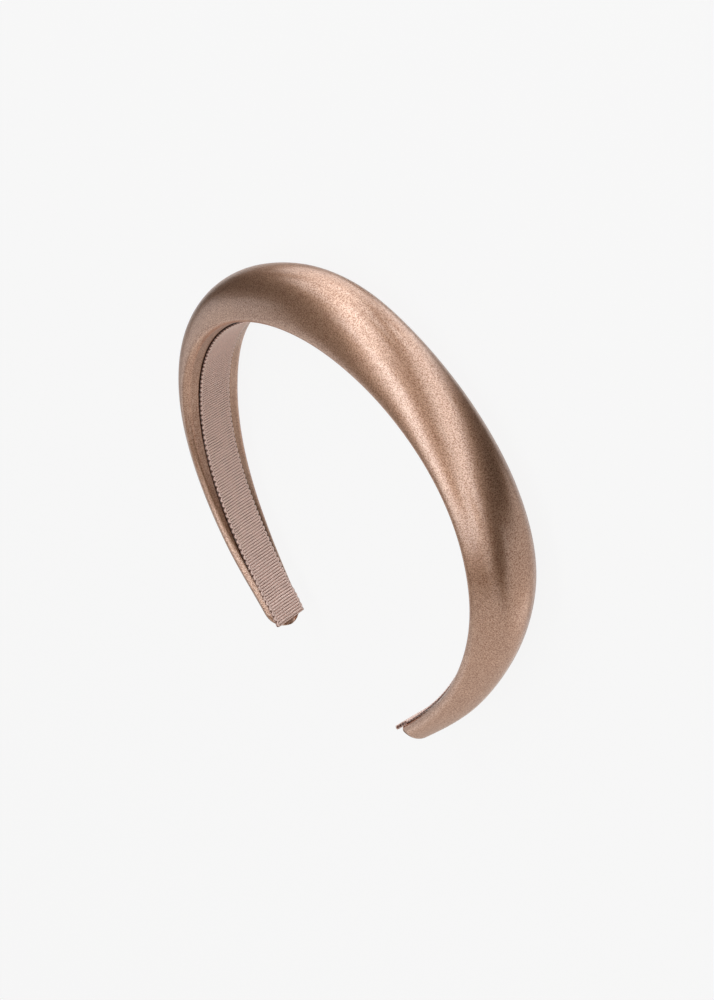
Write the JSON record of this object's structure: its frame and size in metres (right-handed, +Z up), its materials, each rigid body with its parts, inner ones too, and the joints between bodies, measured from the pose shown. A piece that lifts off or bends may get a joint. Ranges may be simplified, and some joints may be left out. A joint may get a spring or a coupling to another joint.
{
  "type": "padded headband",
  "caption": "Open C-shaped hair band with satin-covered padding, thick at the crown and slim at the tips, lined along its inner face with a ribbed ribbon.",
  "frame": {"origin": "on the surface that the band lies on, under the middle of its outline", "axes": "+X across the head towards one tip, +Y towards the crown, +Z up along the width of the band"},
  "size_m": [0.1612, 0.154, 0.024],
  "materials": {
    "satin": "rose brown satin with a soft metallic sheen",
    "ribbon": "dusty pink ribbed ribbon, matt"
  },
  "bodies": {
    "root": {"padded_band": "satin", "ribbon_lining": "ribbon"}
  },
  "joints": []
}
